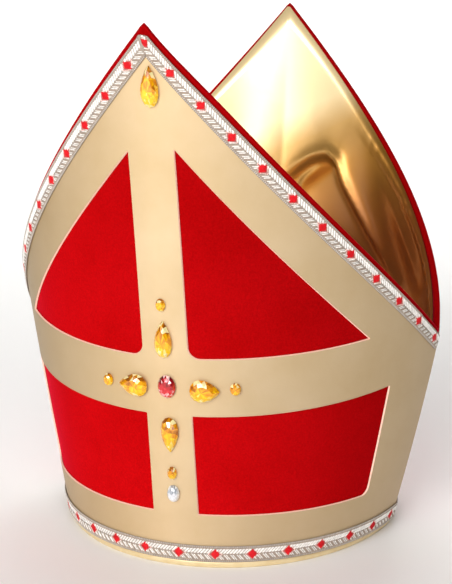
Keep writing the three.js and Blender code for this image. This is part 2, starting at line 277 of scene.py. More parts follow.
velvet, tree, shader = new_material("short_pile_red_velvet")
place = add_node(tree, "ShaderNodeTexCoord")
nap = add_node(tree, "ShaderNodeTexNoise", {"Vector": place.outputs["Object"], "Scale": 24.0, "Detail": 4.0,
    "Roughness": 0.55})
pile = add_node(tree, "ShaderNodeTexNoise", {"Vector": place.outputs["Object"], "Scale": 1 / 0.0011,
    "Detail": 2.0})
nap_shade = add_node(tree, "ShaderNodeMapRange", {"Value": nap.outputs["Fac"], "From Min": 0.35,
    "From Max": 0.65})
pile_shade = add_node(tree, "ShaderNodeMapRange", {"Value": pile.outputs["Fac"], "From Min": 0.3,
    "From Max": 0.7})
dyed = mixed_colour(tree, nap_shade.outputs[0], "#CC080C", "#D60A10")
tufted = mixed_colour(tree, pile_shade.outputs[0], "#E4E4E4", "#FFFFFF")
# Painted light and shade: the velvet's colour is painted lighter towards the lower left of the object and darker
# towards its upper right, standing in for how light falls on it.
across_cloth = add_node(tree, "ShaderNodeSeparateXYZ", {0: place.outputs["Object"]})
painted_light_slope = add_node(tree, "ShaderNodeMath", {0: across_cloth.outputs["Z"], 1: 0.7,
    2: across_cloth.outputs["X"]}, operation="MULTIPLY_ADD")
painted_shade_share = add_node(tree, "ShaderNodeMapRange", {"Value": painted_light_slope.outputs[0], "From Min": -0.07,
    "From Max": 0.21})
painted_shade = mixed_colour(tree, painted_shade_share.outputs[0], "#FFFFFF", "#C2C2C2")
dyed_with_painted_shade = multiplied(tree, dyed.outputs[2], painted_shade.outputs[2])
velvet_colour = multiplied(tree, dyed_with_painted_shade.outputs[2], tufted.outputs[2])
pile_bump = add_node(tree, "ShaderNodeBump", {"Height": pile.outputs["Fac"], "Strength": 0.12,
    "Distance": 0.0002})
tree.links.new(velvet_colour.outputs[2], shader.inputs["Base Color"])
tree.links.new(pile_bump.outputs["Normal"], shader.inputs["Normal"])
shader.inputs["Roughness"].default_value = 1.0
shader.inputs["Specular IOR Level"].default_value = 0.0
shader.inputs["Sheen Weight"].default_value = 1.0
shader.inputs["Sheen Roughness"].default_value = 0.3
shader.inputs["Sheen Tint"].default_value = linear("#FF3050")

canvas, tree, shader = new_material("fused_canvas_stiffener")
place = add_node(tree, "ShaderNodeTexCoord")
threads = add_node(tree, "ShaderNodeTexWave", {"Vector": place.outputs["Object"], "Scale": 160.0,
    "Distortion": 1.0, "Detail": 1.0}, bands_direction="Z")
cross_threads = add_node(tree, "ShaderNodeTexWave", {"Vector": place.outputs["Object"], "Scale": 160.0,
    "Distortion": 1.0, "Detail": 1.0})
weave = add_node(tree, "ShaderNodeMath", {0: threads.outputs["Fac"], 1: cross_threads.outputs["Fac"]},
    operation="MULTIPLY")
canvas_shade = mixed_colour(tree, weave.outputs[0], "#CFC6B4", "#EDE6D8")
weave_bump = add_node(tree, "ShaderNodeBump", {"Height": weave.outputs[0], "Strength": 0.3,
    "Distance": 0.0002})
tree.links.new(canvas_shade.outputs[2], shader.inputs["Base Color"])
tree.links.new(weave_bump.outputs["Normal"], shader.inputs["Normal"])
shader.inputs["Roughness"].default_value = 0.85


def make_horn(name, face):
    """One horn: each column runs up the outside, over the rounded edge and down the inside."""
    across = np.linspace(-1, 1, HORN_COLUMNS)
    tip = np.exp(-(across / 0.012) ** 2)
    top = horn_edge(np.sqrt(across**2 + 0.006**2)) + TIP_BUMP * tip
    radius = WALL / 2 + EDGE_PUFF
    steps = [(share, 0.0, None) for share in np.linspace(0, 1, OUTER_ROWS)]
    steps += [(1, None, turn) for turn in np.linspace(0, math.pi, TURN_ROWS)]
    steps += [(share, -WALL, None) for share in np.linspace(1, 0, INNER_ROWS)]
    rows = []
    for share, offset, turn in steps:
        if turn is None:
            rows.append(wall_points(face, across, WALL_BASE + (top - 2.2 * radius - WALL_BASE) * share,
                offset))
        else:
            height = top - radius * (1 - math.sin(turn))
            rows.append(wall_points(face, across, height, -WALL / 2 + radius * math.cos(turn)))
    points = np.stack(rows, axis=1)
    around = points.shape[1]
    faces = grid_faces(HORN_COLUMNS, around, close_rows=True, flip=face == BACK)
    first, last = list(range(around)), list(range((HORN_COLUMNS - 1) * around, HORN_COLUMNS * around))
    faces += [first, last[::-1]] if face == FRONT else [first[::-1], last]
    made = new_object(name, points.reshape(-1, 3), faces, [velvet, canvas])
    turned_rows = OUTER_ROWS + TURN_ROWS + 2
    for i, polygon in enumerate(made.data.polygons):
        row = i % around
        polygon.material_index = int(i < (HORN_COLUMNS - 1) * around and turned_rows <= row < around - 1)
    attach(made, "root")
    return made


front_horn = make_horn("front_velvet_horn", FRONT)
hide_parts("front_wall")
back_horn = make_horn("back_velvet_horn", BACK)
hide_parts("back_wall")

# ---- gold overlay -----------------------------------------------------------------------------
# One sheet of pale gold leatherette glued over the front horn. Four windows are cut out of it,
# so that a cross and a border are left and the velvet shows through. Its sides are painted darker
# than its middle: painted shade. It measures 0.369 m along the wall: the sheet's stated width is too small.

UPRIGHT = dict(at_rim=0.0068, lean=-0.0315, half_width=0.01325)
CROSSBAR = dict(low_edge=0.0934, low_rise=0.0133, high_edge=0.1267, high_rise=0.0177)
WINDOW_SILL = 0.0334
EDGE_BORDER = 0.0363
SEAM_BORDER = 0.041
CORNERS = dict(soft=0.007, medium=0.005, sharp=0.0008)
OVERLAY_LIFT = 0.00035
LEATHER = 0.0009
OVERLAY_TOP_INSET = 0.007
OVERLAY_CELL = 0.0032
OVERLAY_BLUNT = 0.0115     # its own point is snipped off this far below the horn's
CUT_SLOPE = 0.00045        # the knife leaned, so the pale core shows along every window


def inset_line(along, inset):
    """Distance along the wall and height, at a square inset from the horn edge."""
    step = 0.001
    distance, height = girth(edge_curve(along)) * along, edge_curve(along)
    run = girth(edge_curve(along + step)) * (along + step) - distance
    rise = edge_curve(along + step) - height
    length = np.hypot(run, rise)
    return distance + rise / length * inset, height - run / length * inset


def border_at(height):
    """Distance along the wall of the line that keeps the border's width from the horn edge."""
    along = np.linspace(0, 1.2, 400)
    distance, line_height = inset_line(along, EDGE_BORDER)
    return np.interp(-height, -line_height, distance)


def softening(distance, radius):
    """How far a round corner pulls a side in, at a distance from the corner's other side."""
    short = np.maximum(0, radius - np.maximum(0, distance))
    return radius - np.sqrt(radius**2 - short**2)


def window_outline(side, low, high, outer_side, soft):
    """The outline of one window as distances along the wall and heights."""
    eased = (1 - np.cos(np.linspace(0, math.pi, 61))) / 2
    straight = np.linspace(0, 1, 61)
    u = np.concatenate([straight, np.ones(59), straight[::-1], np.zeros(59)])
    v = np.concatenate([np.zeros(61), eased[1:-1], np.ones(61), eased[::-1][1:-1]])
    distance = np.zeros_like(u)
    for _ in range(14):
        share = distance / girth((low(distance * 0) + high(distance * 0)) / 2)
        bottom, top = low(share), high(share)
        height = bottom + (top - bottom) * v
        up, down = height - bottom, top - height
        bar_pull = softening(up, soft["bar_low"]) + softening(down, soft["bar_high"])
        outer_pull = softening(up, soft["outer_low"]) + softening(down, soft["outer_high"])
        start = UPRIGHT["at_rim"] + UPRIGHT["lean"] * height + side * (UPRIGHT["half_width"] + bar_pull)
        end = side * (outer_side(height) - outer_pull)
        distance = start + (end - start) * u
    return np.stack([distance, height], axis=-1)


def upper_window(side):
    heights = np.linspace(0.16, 0.29, 400)
    bar = side * (UPRIGHT["at_rim"] + UPRIGHT["lean"] * heights) + UPRIGHT["half_width"]
    tip = heights[np.argmax(bar + 0.0006 > border_at(heights))]
    return window_outline(
        side,
        low=lambda share: CROSSBAR["high_edge"] + CROSSBAR["high_rise"] * share**2,
        high=lambda share: tip + 0 * share,
        outer_side=border_at,
        soft=dict(bar_low=CORNERS["soft"], bar_high=0, outer_low=CORNERS["sharp"], outer_high=0),
    )


def lower_window(side):
    sharp = CORNERS["sharp"]
    return window_outline(
        side,
        low=lambda share: WINDOW_SILL + 0 * share,
        high=lambda share: CROSSBAR["low_edge"] + CROSSBAR["low_rise"] * share**2,
        outer_side=lambda height: girth(height) - SEAM_BORDER,
        soft=dict(bar_low=sharp, bar_high=sharp, outer_low=CORNERS["medium"], outer_high=sharp),
    )


def inside(points, outline):
    """Which points lie inside a closed outline."""
    ahead = np.roll(outline, -1, axis=0)
    x, y = points[:, 0:1], points[:, 1:2]
    spans = (outline[:, 1] > y) != (ahead[:, 1] > y)
    rise = np.where(ahead[:, 1] == outline[:, 1], 1, ahead[:, 1] - outline[:, 1])
    meets = outline[:, 0] + (y - outline[:, 1]) * (ahead[:, 0] - outline[:, 0]) / rise
    return np.sum(spans & (x < meets), axis=1) % 2 == 1


def thinned(outline, spacing):
    """An outline without the points that are closer than a spacing to the last one kept."""
    kept = [outline[0]]
    for point in outline[1:]:
        if np.linalg.norm(point - kept[-1]) >= spacing:
            kept.append(point)
    return np.array(kept)


edge_along = np.linspace(0, 1, 120)
top_line = np.stack([girth(horn_edge(edge_along) - OVERLAY_TOP_INSET) * edge_along,
    horn_edge(edge_along) - OVERLAY_TOP_INSET], axis=-1)
seam_heights = np.linspace(JOIN_HEIGHT - OVERLAY_TOP_INSET, WALL_BASE, 46)[1:]
seam_line = np.stack([girth(seam_heights), seam_heights], axis=-1)
rim_line = np.stack([np.linspace(1, 0, 70)[1:] * girth(WALL_BASE), np.full(69, WALL_BASE)], axis=-1)
top_line[:, 1] = np.minimum(top_line[:, 1], HORN_HEIGHT - OVERLAY_BLUNT)
right_half = np.concatenate([top_line, seam_line, rim_line])
overlay_outline = np.concatenate([right_half, (right_half * (-1, 1))[::-1][1:-1]])
windows = [thinned(shape(side), 0.0005) for shape in (upper_window, lower_window) for side in (-1, 1)]

loops = [overlay_outline, *windows]
flat_points = np.concatenate(loops)
flat_edges, start = [], 0
for loop in loops:
    flat_edges += [(start + i, start + (i + 1) % len(loop)) for i in range(len(loop))]
    start += len(loop)
reach = float(np.max(overlay_outline[:, 0]))
grid_x, grid_z = np.meshgrid(np.arange(-reach, reach, OVERLAY_CELL), np.arange(WALL_BASE, HORN_HEIGHT,
    OVERLAY_CELL))
fill = np.stack([grid_x.ravel(), grid_z.ravel()], axis=-1)
fill = fill[inside(fill, overlay_outline)]
for loop in loops:
    clear = np.min(np.linalg.norm(fill[:, None] - loop[None], axis=2), axis=1) > OVERLAY_CELL * 0.55
    fill = fill[clear]
for window in windows:
    fill = fill[~inside(fill, window)]
cut = delaunay_2d_cdt([Vector(p) for p in np.concatenate([flat_points, fill])], flat_edges, [], 0, 1e-7)
sheet_points = np.array([tuple(p) for p in cut[0]])
sheet_faces = np.array([tuple(f) for f in cut[2]])
middles = sheet_points[sheet_faces].mean(axis=1)
kept = inside(middles, overlay_outline)
for window in windows:
    kept &= ~inside(middles, window)
sheet_faces = sheet_faces[kept]
window_slope = np.zeros_like(flat_points)
start = len(overlay_outline)
for window in windows:
    along_loop = np.roll(window, -1, axis=0) - np.roll(window, 1, axis=0)
    ahead = np.roll(window, -1, axis=0)
    winding = np.sign(np.sum(window[:, 0] * ahead[:, 1] - ahead[:, 0] * window[:, 1]))
    into_window = winding * np.stack([-along_loop[:, 1], along_loop[:, 0]], axis=-1)
    into_window /= np.maximum(np.linalg.norm(into_window, axis=1, keepdims=True), 1e-9)
    window_slope[start:start + len(window)] = CUT_SLOPE * into_window
    start += len(window)
lower_points = sheet_points.copy()
for i, sources in enumerate(cut[3]):
    if sources and sources[0] < len(flat_points):
        lower_points[i] += window_slope[sources[0]]


def overlay_layer(flat, lift):
    across = flat[:, 0] / girth(flat[:, 1])
    across = np.where(np.abs(across) > 0.99999, np.sign(across), across)
    return wall_points(FRONT, across, flat[:, 1], lift)


gold, tree, shader = new_material("pale_gold_leatherette")
place = add_node(tree, "ShaderNodeTexCoord")
grain = add_node(tree, "ShaderNodeTexVoronoi", {"Vector": place.outputs["Object"], "Scale": 1 / 0.0011,
    "Randomness": 1.0}, feature="SMOOTH_F1")
cloud = add_node(tree, "ShaderNodeTexNoise", {"Vector": place.outputs["Object"], "Scale": 22.0,
    "Detail": 5.0, "Roughness": 0.6})
cloud_shade = add_node(tree, "ShaderNodeMapRange", {"Value": cloud.outputs["Fac"], "From Min": 0.3,
    "From Max": 0.7})
gold_colour = mixed_colour(tree, cloud_shade.outputs[0], "#D1B487", "#DBC098")
gold_rough = add_node(tree, "ShaderNodeMapRange", {"Value": cloud.outputs["Fac"], "From Min": 0.3,
    "From Max": 0.7, "To Min": 0.44, "To Max": 0.54})
grain_bump = add_node(tree, "ShaderNodeBump", {"Height": grain.outputs["Distance"], "Strength": 0.12,
    "Distance": 0.0002})
cloud_bump = add_node(tree, "ShaderNodeBump", {"Height": cloud.outputs["Fac"], "Strength": 0.15,
    "Distance": 0.002, "Normal": grain_bump.outputs["Normal"]})
# Painted shade: the colour darkens from the middle of the horn towards both sides, most on the left.
spot = add_node(tree, "ShaderNodeSeparateXYZ", {"Vector": place.outputs["Object"]})
painted_shade_across = add_node(tree, "ShaderNodeMapRange", {"Value": spot.outputs["X"], "From Min": -0.135,
    "From Max": 0.135})
painted_side_shade = colour_ramp(tree, painted_shade_across.outputs[0], (0.0, "#BEBAB2"), (1.0, "#DCDCDC"), ((0.3, "#E2E0DC"),
    (0.5, "#FFFFFF"), (0.68, "#E6E6E6")))
gold_with_painted_shade = multiplied(tree, gold_colour.outputs[2], painted_side_shade.outputs["Color"])
tree.links.new(gold_with_painted_shade.outputs[2], shader.inputs["Base Color"])
tree.links.new(gold_rough.outputs[0], shader.inputs["Roughness"])
tree.links.new(cloud_bump.outputs["Normal"], shader.inputs["Normal"])
shader.inputs["Metallic"].default_value = 0.3

gold_edge, tree, shader = new_material("leatherette_cut_edge")
place = add_node(tree, "ShaderNodeTexCoord")
fibres = add_node(tree, "ShaderNodeTexNoise", {"Vector": place.outputs["Object"], "Scale": 900.0})
edge_shade = mixed_colour(tree, fibres.outputs["Fac"], "#F0B49C", "#FBD9C4")
tree.links.new(edge_shade.outputs[2], shader.inputs["Base Color"])
shader.inputs["Roughness"].default_value = 0.7

used, sheet_faces = np.unique(sheet_faces, return_inverse=True)
sheet_faces = sheet_faces.reshape(-1, 3)
count = len(used)
face_edges = np.concatenate([sheet_faces[:, [0, 1]], sheet_faces[:, [1, 2]], sheet_faces[:, [2, 0]]])
directed = {tuple(edge) for edge in face_edges.tolist()}
rim_edges = [(i, j) for i, j in directed if (j, i) not in directed]
upper = overlay_layer(sheet_points[used], OVERLAY_LIFT + LEATHER)
lower = overlay_layer(lower_points[used], OVERLAY_LIFT)
faces = sheet_faces.tolist() + (sheet_faces[:, ::-1] + count).tolist()
faces += [(j, i, i + count, j + count) for i, j in rim_edges]
overlay = new_object("gold_leatherette_overlay", np.concatenate([upper, lower]), faces, [gold, gold_edge])
for polygon in overlay.data.polygons[2 * len(sheet_faces):]:
    polygon.material_index = 1
overlay.data.set_sharp_from_angle(angle=math.radians(30))
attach(overlay, "root")
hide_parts("front_overlay")

# ---- braid ------------------------------------------------------------------------------------
# Ten millimetre woven braid sewn along the horn edges, mitred at each point, and round the rim.
# Silver-white threads lie in two slanting halves between corded selvages, with red diamonds.

BRAID_WIDTH = 0.010
EDGE_INSET = 0.0032
BRAID_LIFT = 0.0016
BACK_BRAID_LIFT = 0.0003
BRAID_GROUND = 0.0004
RIM_BRAID_LOW = 0.0047
EDGE_PITCH = 0.023
RIM_PITCH = 0.0211
DIAMOND = dict(half_long=0.0039, half_wide=0.0029)
BAR_STEP = 0.00185         # from one slanting bar to the next; each bar is two threads
COMB_STEP = 0.0011         # from one selvage stitch to the next
THREAD_WIDTH = 0.00076
MITRE_LEAN = 0.0030        # how far left of the middle the mitre's top ends
BLUNT_CORNER = 0.0078      # the folded corner of the mitre is turned under, this far below the point
WHITE, TAUPE, GREY, RED, PALE = 0.0, 1.0, 2.0, 3.0, 4.0

braid_thread, tree, shader = new_material("lurex_and_viscose_braid_thread")
place = add_node(tree, "ShaderNodeTexCoord")
kind = add_node(tree, "ShaderNodeAttribute", attribute_name="kind")
# Painted glint: the threads are made lighter and darker in small random patches, standing in for the lurex catching the
# light.
painted_glint = add_node(tree, "ShaderNodeTexNoise", {"Vector": place.outputs["Object"], "Scale": 420.0,
    "Detail": 2.0})
kind_share = add_node(tree, "ShaderNodeMath", {0: kind.outputs["Fac"], 1: 0.2}, operation="MULTIPLY")
ramp = colour_ramp(tree, kind_share.outputs[0], (0.0, "#FFFBF6"), (0.1, "#B9A898"), ((0.3, "#CBC0B6"), (0.5,
    "#DE1420"), (0.7, "#FBD0C6")), "CONSTANT")
painted_glint_factor = add_node(tree, "ShaderNodeMapRange", {"Value": painted_glint.outputs["Fac"], "From Min": 0.35,
    "From Max": 0.65, "To Min": 0.8, "To Max": 1.0})
thread_colour = multiplied(tree, ramp.outputs["Color"], painted_glint_factor.outputs[0])
shine = add_node(tree, "ShaderNodeMath", {0: kind.outputs["Fac"], 1: 2.5}, operation="LESS_THAN")
shine_amount = add_node(tree, "ShaderNodeMath", {0: shine.outputs[0], 1: 0.25}, operation="MULTIPLY")
tree.links.new(thread_colour.outputs[2], shader.inputs["Base Color"])
tree.links.new(shine_amount.outputs[0], shader.inputs["Metallic"])
shader.inputs["Roughness"].default_value = 0.5
shader.inputs["Specular IOR Level"].default_value = 0.25

braid_ground, tree, shader = new_material("braid_ground_weave")
place = add_node(tree, "ShaderNodeTexCoord")
ground_noise = add_node(tree, "ShaderNodeTexNoise", {"Vector": place.outputs["Object"], "Scale": 1500.0})
ground_shade = mixed_colour(tree, ground_noise.outputs["Fac"], "#85776C", "#B0A295")
tree.links.new(ground_shade.outputs[2], shader.inputs["Base Color"])
shader.inputs["Roughness"].default_value = 0.8


def apply_modifiers(made):
    """Replaces a mesh by its evaluated one and removes the modifiers."""
    depsgraph = bpy.context.evaluated_depsgraph_get()
    mesh = bpy.data.meshes.new_from_object(made.evaluated_get(depsgraph), depsgraph=depsgraph)
    made.modifiers.clear()
    made.data = mesh


def thicken(made, thickness, offset):
    """Gives a one-sided sheet its thickness."""
    depth = made.modifiers.new("thickness", "SOLIDIFY")
    depth.thickness = thickness
    depth.offset = offset
    apply_modifiers(made)


def build_stitching():
    """Geometry nodes: a rounded thread on every point, turned and stretched by its attributes."""
    group = bpy.data.node_groups.new("braid_stitching", "GeometryNodeTree")
    group.interface.new_socket("Geometry", in_out="INPUT", socket_type="NodeSocketGeometry")
    for name in ("Thread Width", "Thread Height"):
        group.interface.new_socket(name, in_out="INPUT", socket_type="NodeSocketFloat")
    group.interface.new_socket("Material", in_out="INPUT", socket_type="NodeSocketMaterial")
    group.interface.new_socket("Geometry", in_out="OUTPUT", socket_type="NodeSocketGeometry")
    entry = add_node(group, "NodeGroupInput")
    turn = add_node(group, "GeometryNodeInputNamedAttribute", {"Name": "turn"}, data_type="FLOAT")
    long = add_node(group, "GeometryNodeInputNamedAttribute", {"Name": "long"}, data_type="FLOAT")
    thread = add_node(group, "GeometryNodeMeshUVSphere", {"Segments": 6, "Rings": 4, "Radius": 0.5})
    rotation = add_node(group, "ShaderNodeCombineXYZ", {"Z": turn.outputs["Attribute"]})
    size = add_node(group, "ShaderNodeCombineXYZ", {"X": long.outputs["Attribute"],
        "Y": entry.outputs["Thread Width"], "Z": entry.outputs["Thread Height"]})
    laid = add_node(group, "GeometryNodeInstanceOnPoints", {"Points": entry.outputs["Geometry"],
        "Instance": thread.outputs["Mesh"], "Rotation": rotation.outputs[0], "Scale": size.outputs[0]})
    solid = add_node(group, "GeometryNodeRealizeInstances", {"Geometry": laid.outputs["Instances"]})
    finished = add_node(group, "GeometryNodeSetMaterial", {"Geometry": solid.outputs["Geometry"],
        "Material": entry.outputs["Material"]})
    add_node(group, "NodeGroupOutput", {0: finished.outputs["Geometry"]})
    return group


stitching = build_stitching()


def stitch_plan(length, diamonds):
    """Threads of a straight braid: position along, across, turn, length and kind of each."""
    rows = []
    half = BRAID_WIDTH / 2
    diamonds = np.array(diamonds)

    def clear_of_diamonds(along, across):
        reach = np.abs(along - diamonds) / DIAMOND["half_long"] + abs(across - half) / DIAMOND["half_wide"]
        return np.min(reach) > 1.12

    for along in np.arange(0, length, COMB_STEP):
        rows.append((along, 0.0006, 1.35, 0.0013, GREY))
        rows.append((along + COMB_STEP / 2, BRAID_WIDTH - 0.0006, 1.75, 0.0013, GREY))
    for along in np.arange(0, length, COMB_STEP * 0.8):
        rows.append((along, 0.0014, 0.5, 0.0012, TAUPE))
        rows.append((along, BRAID_WIDTH - 0.0014, -0.5, 0.0012, TAUPE))
    for number, along in enumerate(np.arange(0, length, BAR_STEP)):
        for shift in (-0.0003, 0.0003):
            for part in (-0.0009, 0.0009):
                spot = half - 0.0019 + 0.77 * part
                if clear_of_diamonds(along + shift + 0.64 * part, spot):
                    rows.append((along + shift + 0.64 * part, spot, 0.88, 0.0027, WHITE))
                spot = half + 0.0019 - 0.77 * part
                if clear_of_diamonds(along + shift + 0.64 * part, spot):
                    tone = TAUPE if (number % 2) == (shift > 0) else WHITE
                    rows.append((along + shift + 0.64 * part, spot, -0.88, 0.0027, tone))
    for middle in diamonds:
        for step in np.linspace(-0.92, 0.92, 10) * DIAMOND["half_wide"]:
            reach = DIAMOND["half_long"] * (1 - abs(step) / (DIAMOND["half_wide"] * 1.12))
            rows.append((middle, half + step, 0.0, 2 * reach, RED))
            for side in (-1, 1):
                rows.append((middle + side * (reach + 0.0002), half + step, -side * math.copysign(0.7,
                    step), 0.0009, PALE))
    return np.array([r for r in rows if 0 <= r[0] <= length])


def stitched_mesh(name, plan):
    """The threads of a plan as one mesh, still flat: x along, y across, z up from the ground."""
    mesh = bpy.data.meshes.new(name)
    mesh.from_pydata([(a, b, 0.0) for a, b in plan[:, :2]], [], [])
    for column, attribute in ((2, "turn"), (3, "long"), (4, "kind")):
        mesh.attributes.new(attribute, "FLOAT", "POINT").data.foreach_set("value", plan[:, column])
    holder = bpy.data.objects.new(name, mesh)
    bpy.context.collection.objects.link(holder)
    modifier = holder.modifiers.new("stitching", "NODES")
    modifier.node_group = stitching
    values = {"Thread Width": THREAD_WIDTH, "Thread Height": THREAD_WIDTH, "Material": braid_thread}
    for item in stitching.interface.items_tree:
        if item.in_out == "INPUT" and item.name in values:
            modifier[item.identifier] = values[item.name]
    depsgraph = bpy.context.evaluated_depsgraph_get()
    threads = bpy.data.meshes.new_from_object(holder.evaluated_get(depsgraph), depsgraph=depsgraph)
    bpy.data.objects.remove(holder)
    return threads


def lay_braid(name, length, diamonds, lay, keep, start=0.0):
    """Sews one braid: lay(along, across, lift) gives its points, keep(along, across) what isn't cut off."""
    plan = stitch_plan(length - start, np.array(diamonds) - start)
    plan[:, 0] += start
    plan = plan[keep(plan[:, 0], plan[:, 1])]
    threads = stitched_mesh(name, plan)
    flat = np.empty(len(threads.vertices) * 3)
    threads.vertices.foreach_get("co", flat)
    flat = flat.reshape(-1, 3)
    threads.vertices.foreach_set("co", lay(flat[:, 0], flat[:, 1], BRAID_GROUND + flat[:, 2]).ravel())
    threads.polygons.foreach_set("use_smooth", [True] * len(threads.polygons))
    threads.update()
    made = bpy.data.objects.new(name, threads)
    bpy.context.collection.objects.link(made)
    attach(made, "root")
    return made


edge_alongs = np.linspace(-0.08, 1.04, 560)
edge_middle = np.stack(inset_line(edge_alongs, EDGE_INSET + BRAID_WIDTH / 2), axis=-1)
started = np.argmax(edge_middle[:, 0] > 0)
edge_lengths = np.concatenate([[0], np.cumsum(np.linalg.norm(np.diff(edge_middle, axis=0), axis=1))])
edge_lengths -= edge_lengths[started]
edge_length = float(np.interp(1.0, edge_alongs, edge_lengths)) + 0.004
EDGE_START = -0.011


def edge_spot(along, across):
    """Distance along the wall and height of a point of an edge braid."""
    return inset_line(np.interp(along, edge_lengths, edge_alongs), EDGE_INSET + across)


def mitre_at(side, across):
    """Distance from the middle at which an edge braid is cut: the mitre leans to the left."""
    return -side * MITRE_LEAN * (1 - across / BRAID_WIDTH)


def lay_on_edge(face, side, lift):
    """The function that lays one edge braid on its horn."""
    def lay(along, across, height_above):
        distance, height = edge_spot(along, across)
        distance = np.clip(distance, mitre_at(side, across) + 0.0001, girth(height) - 0.0002)
        height = np.minimum(height, horn_edge(np.abs(distance) / girth(height)) - 1.4 * EDGE_INSET)
        height = np.minimum(height, HORN_HEIGHT - BLUNT_CORNER)
        return wall_points(face, side * distance / girth(height), height, lift + height_above)
    return lay


for face, face_name, lift in ((FRONT, "front", BRAID_LIFT), (BACK, "back", BACK_BRAID_LIFT)):
    for side, side_name, diamonds in ((-1, "left", [0.0156]), (1, "right", [-0.0006, 0.020])):
        diamonds = diamonds[:-1] + list(np.arange(diamonds[-1], edge_length, EDGE_PITCH))
        name = f"{face_name}_{side_name}_edge_braid"

        def keep(along, across):
            distance, height = edge_spot(along, across)
            edge = np.minimum(horn_edge(np.abs(distance) / girth(height)) - 1.45 * EDGE_INSET,
                HORN_HEIGHT - BLUNT_CORNER)
            cut = (distance > mitre_at(side, across) + 0.0004) & (distance < girth(height) - 0.0007)
            return cut & (height < edge + 0.0002)

        lay = lay_on_edge(face, side, lift)
        threads = lay_braid(name + "_threads", edge_length, diamonds, lay, keep, EDGE_START)
        columns, rows = 150, 7
        alongs, acrosses = np.meshgrid(np.linspace(EDGE_START, edge_length, columns), np.linspace(0,
            BRAID_WIDTH, rows), indexing="ij")
        points = lay(alongs, acrosses, 0.0)
        band = new_object(name + "_ground", points.reshape(-1, 3), grid_faces(columns, rows,
            flip=(face == FRONT) == (side == 1)), [braid_ground])
        thicken(band, BRAID_GROUND, 1)
        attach(band, "root")
        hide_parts(f"{face_name}_edge_braid_{side_name}")

rim_girth = float(girth(RIM_BRAID_LOW + BRAID_WIDTH / 2))


def lay_on_rim(along, across, height_above):
    """Points of the rim braid: along runs round the rim from the middle of the back, clockwise
    seen from above, and the white half of the braid is uppermost."""
    walk = np.mod(4 * rim_girth - along, 4 * rim_girth)
    on_front = (walk > rim_girth) & (walk < 3 * rim_girth)
    front_across = np.clip(walk / rim_girth - 2, -1, 1)
    back_walk = np.where(walk >= 3 * rim_girth, walk - 4 * rim_girth, walk)
    back_across = np.clip(-back_walk / rim_girth, -1, 1)
    height = RIM_BRAID_LOW + BRAID_WIDTH - across
    from_seam = 1 - np.abs(np.where(on_front, front_across, back_across))
    back_lift = BRAID_LIFT + (BACK_BRAID_LIFT - BRAID_LIFT) * np.minimum(1, 8 * from_seam)
    front = wall_points(FRONT, front_across, height, BRAID_LIFT + height_above)
    back = wall_points(BACK, back_across, height, back_lift + height_above)
    return np.where(on_front[..., None], front, back)


rim_first = 2 * rim_girth - 0.0072
rim_diamonds = rim_first + RIM_PITCH * np.arange(-15, 16)
rim_diamonds = rim_diamonds[(rim_diamonds > 0.005) & (rim_diamonds < 4 * rim_girth - 0.005)]
for half, keep in (("front", lambda along, across: np.abs(along - 2 * rim_girth) < rim_girth),
                   ("back", lambda along, across: np.abs(along - 2 * rim_girth) >= rim_girth)):
    threads = lay_braid(f"{half}_rim_braid_threads", 4 * rim_girth - 0.0006, rim_diamonds, lay_on_rim, keep)
    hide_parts("rim_braid")
columns, rows = 240, 5
alongs = np.linspace(0, 4 * rim_girth, columns + 1)[:-1]
rim_ground = np.stack([lay_on_rim(alongs, BRAID_WIDTH * share, 0) for share in np.linspace(0, 1, rows)],
    axis=1)
band = new_object("rim_braid_ground", rim_ground.reshape(-1, 3), grid_faces(columns, rows,
    close_columns=True), [braid_ground])
thicken(band, BRAID_GROUND, 1)
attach(band, "root")

# ---- satin lining -----------------------------------------------------------------------------
# Gold polyester satin backs both horns and is slack between them, so it hangs in a trough and folds
# fan out from the seams. Its colour is painted: pale towards the points as a painted highlight, dark
# brown low down as painted shade, not dye, so it is to be made even where the part is used under other lamps.

TROUGH = dict(reach=0.985, top_inset=0.0022, end_depth=0.005, sag=0.012, squareness=3.0)
SATIN = 0.0006
LINING_COLUMNS = 236
LINING_ROWS = 200
# Folds on the back horn's side: the crest is a line through points (distance along the wall from
# the middle, height), raised by `rise`; it falls away over `upper` above it and `under` below it.
FOLDS = (
    dict(crest=((0.000, 0.197), (0.012, 0.2075), (0.024, 0.2135), (0.037, 0.2165), (0.0455, 0.212), (0.052,
        0.198),
                (0.063, 0.184), (0.078, 0.167), (0.090, 0.156)), rise=0.0030, upper=0.0040, under=0.0035),
    dict(crest=((-0.030, 0.176), (0.006, 0.201), (0.024, 0.2135), (0.037, 0.2165), (0.0455, 0.212), (0.052,
        0.198),
                (0.063, 0.184), (0.078, 0.167), (0.096, 0.150), (0.112,
                    0.136)), rise=0.0060, upper=0.026, under=0.0045),
    dict(crest=((0.012, 0.186), (0.0185, 0.198), (0.029, 0.206), (0.040, 0.209)), rise=0.0025, upper=0.003,
        under=0.004),
    dict(crest=((0.080, 0.205), (0.098, 0.185), (0.115, 0.166), (0.130, 0.150), (0.142, 0.138)),
        rise=0.0024, upper=0.006, under=0.008),
    dict(crest=((-0.150, 0.136), (-0.110, 0.150), (-0.070, 0.170), (-0.045, 0.195)), rise=0.0060,
        upper=0.015, under=0.010),
)
FRONT_FOLDS = (
    dict(crest=((-0.120, 0.140), (-0.070, 0.168), (-0.020, 0.182), (0.040, 0.178), (0.110, 0.146)),
        rise=0.006, upper=0.018, under=0.010),
    dict(crest=((0.010, 0.240), (0.030, 0.210), (0.060, 0.180)), rise=0.004, upper=0.010, under=0.010),
)
EDGE_ROLL = dict(width=0.0042, rise=0.0016, pucker=0.00022)

